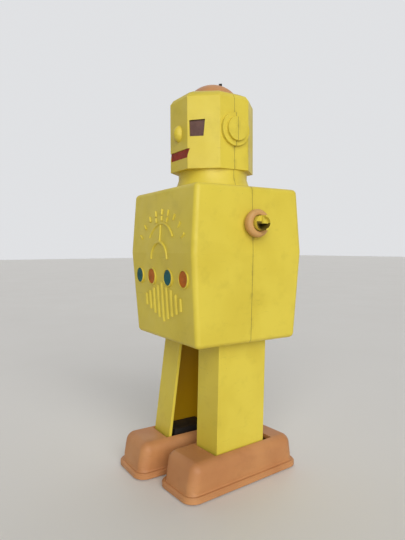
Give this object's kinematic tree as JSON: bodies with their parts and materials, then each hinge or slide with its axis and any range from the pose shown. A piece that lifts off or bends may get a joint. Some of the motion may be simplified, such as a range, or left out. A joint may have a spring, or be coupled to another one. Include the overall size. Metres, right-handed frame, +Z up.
{
  "type": "wind-up walking robot toy",
  "caption": "Boxy moulded robot with an octagonal head, a chest dial, lamps and ribs, two swinging legs in roller shoes, and a clockwork drive with a side key.",
  "frame": {"origin": "on the floor under the middle of the outline, key, arm stub and both shoes included", "axes": "+Z up, -Y the way the face looks, +X the robot's left hand, -X the side with the key"},
  "size_m": [0.1306, 0.1124, 0.282],
  "materials": {
    "shell_yellow": "semi-matte moulded plastic, lightly soiled",
    "peach": "semi-matte moulded plastic",
    "dark_plastic": "matt black plastic",
    "eye_lens": "glossy smoked plastic",
    "mouth_red": "glossy red plastic",
    "lamp_blue": "glossy blue plastic",
    "lamp_orange": "glossy orange plastic",
    "steel": "bright steel",
    "spring_steel": "blued spring steel",
    "plated_steel": "nickel plating, rubbed",
    "brass": "stamped brass",
    "roller_nylon": "grey nylon"
  },
  "bodies": {
    "body": {"torso_front": "shell_yellow", "torso_back": "shell_yellow", "head_front": "shell_yellow", "head_back": "shell_yellow", "head_dome": "peach", "antenna_stubs": "dark_plastic", "eye_lenses": "eye_lens", "mouth_insert": "mouth_red", "lamp_blue_outer": "lamp_blue", "lamp_orange_inner": "lamp_orange", "lamp_blue_inner": "lamp_blue", "lamp_orange_outer": "lamp_orange", "shoulder_collar_left": "peach", "shoulder_collar_right": "peach", "torso_screws": "steel", "hip_shaft": "steel", "hip_retainers": "dark_plastic", "frame_plate_left": "steel", "frame_plate_right": "steel", "frame_pillars": "steel", "frame_bracket": "steel", "bracket_screws": "steel", "mainspring": "spring_steel", "key_bush": "brass"},
    "left_arm": {"arm_stub_left": "shell_yellow"},
    "right_arm": {"arm_stub_right": "shell_yellow"},
    "left_leg": {"leg_shell_left": "shell_yellow", "leg_arm_left": "steel"},
    "right_leg": {"leg_shell_right": "shell_yellow", "leg_arm_right": "steel"},
    "left_shoe": {"shoe_left": "peach", "sole_plate_left": "dark_plastic", "ankle_block_left": "dark_plastic", "ankle_pin_left": "steel"},
    "right_shoe": {"shoe_right": "peach", "sole_plate_right": "dark_plastic", "ankle_block_right": "dark_plastic", "ankle_pin_right": "steel"},
    "left_front_roller": {"front_roller_left": "roller_nylon"},
    "left_rear_roller": {"rear_roller_left": "roller_nylon"},
    "right_front_roller": {"front_roller_right": "roller_nylon"},
    "right_rear_roller": {"rear_roller_right": "roller_nylon"},
    "winder": {"winding_arbor": "steel", "ratchet_wheel": "brass", "winding_key": "plated_steel"},
    "great": {"great_wheel": "brass", "click_spring": "steel"},
    "pawl": {"click": "steel"},
    "second": {"second_arbor": "steel", "second_wheel": "brass"},
    "crank": {"crank_arbor": "steel", "crank_wheel": "brass", "crank_disc_left": "steel", "crank_disc_right": "steel"},
    "governor": {"governor_arbor": "steel", "governor_fly": "brass"}
  },
  "joints": [
    {"name": "left_leg_swing", "type": "hinge", "parent": "body", "child": "left_leg", "pos_m": [0.02822, 0.00784, 0.1234], "axis": [-1, 0, 0], "range_deg": [-4.9, 11.1]},
    {"name": "right_leg_swing", "type": "hinge", "parent": "body", "child": "right_leg", "pos_m": [-0.01478, 0.00784, 0.1234], "axis": [-1, 0, 0], "range_deg": [-11.1, 4.9]},
    {"name": "left_ankle", "type": "hinge", "parent": "left_leg", "child": "left_shoe", "pos_m": [0.02848, 0.00445, 0.0154], "axis": [-1, 0, 0], "range_deg": [-11.1, 4.9]},
    {"name": "right_ankle", "type": "hinge", "parent": "right_leg", "child": "right_shoe", "pos_m": [-0.01478, -0.00734, 0.0154], "axis": [-1, 0, 0], "range_deg": [-4.9, 11.1]},
    {"name": "left_front_roller_turn", "type": "hinge", "parent": "left_shoe", "child": "left_front_roller", "pos_m": [0.03093, -0.02745, 0.004], "axis": [0.9971, 0.0767, 0], "continuous": true},
    {"name": "left_rear_roller_turn", "type": "hinge", "parent": "left_shoe", "child": "left_rear_roller", "pos_m": [0.02602, 0.03636, 0.004], "axis": [0.9971, 0.0767, 0], "continuous": true},
    {"name": "right_front_roller_turn", "type": "hinge", "parent": "right_shoe", "child": "right_front_roller", "pos_m": [-0.01478, -0.03934, 0.004], "axis": [1, 0, 0], "continuous": true},
    {"name": "right_rear_roller_turn", "type": "hinge", "parent": "right_shoe", "child": "right_rear_roller", "pos_m": [-0.01478, 0.02466, 0.004], "axis": [1, 0, 0], "continuous": true},
    {"name": "left_arm_turn", "type": "hinge", "parent": "body", "child": "left_arm", "pos_m": [0.05672, 0.00634, 0.1786], "axis": [1, 0, 0], "continuous": true},
    {"name": "right_arm_turn", "type": "hinge", "parent": "body", "child": "right_arm", "pos_m": [-0.04328, 0.00634, 0.1786], "axis": [1, 0, 0], "continuous": true},
    {"name": "winding_turn", "type": "hinge", "parent": "body", "child": "winder", "pos_m": [0.00672, 0.02584, 0.1594], "axis": [1, 0, 0], "continuous": true},
    {"name": "great_wheel_turn", "type": "hinge", "parent": "body", "child": "great", "pos_m": [0.00672, 0.02584, 0.1594], "axis": [1, 0, 0], "continuous": true},
    {"name": "click_lift", "type": "hinge", "parent": "great", "child": "pawl", "pos_m": [0.00972, 0.03644, 0.1594], "axis": [1, 0, 0], "range_deg": [-12, 0], "stiffness_Nm_per_rad": 0.0005},
    {"name": "second_wheel_turn", "type": "hinge", "parent": "body", "child": "second", "pos_m": [0.00672, 0.0068, 0.16554], "axis": [1, 0, 0], "continuous": true},
    {"name": "crank_turn", "type": "hinge", "parent": "body", "child": "crank", "pos_m": [0.00672, 0.00989, 0.1474], "axis": [1, 0, 0], "continuous": true},
    {"name": "governor_turn", "type": "hinge", "parent": "body", "child": "governor", "pos_m": [0.00672, -0.00783, 0.14427], "axis": [1, 0, 0], "continuous": true}
  ],
  "couplings": [
    {"joint": "right_leg_swing", "follows": "left_leg_swing", "ratio": -1},
    {"joint": "left_ankle", "follows": "left_leg_swing", "ratio": -1},
    {"joint": "right_ankle", "follows": "left_leg_swing", "ratio": 1},
    {"joint": "second_wheel_turn", "follows": "crank_turn", "ratio": -0.27778},
    {"joint": "great_wheel_turn", "follows": "crank_turn", "ratio": 0.069444},
    {"joint": "governor_turn", "follows": "crank_turn", "ratio": -4}
  ]
}
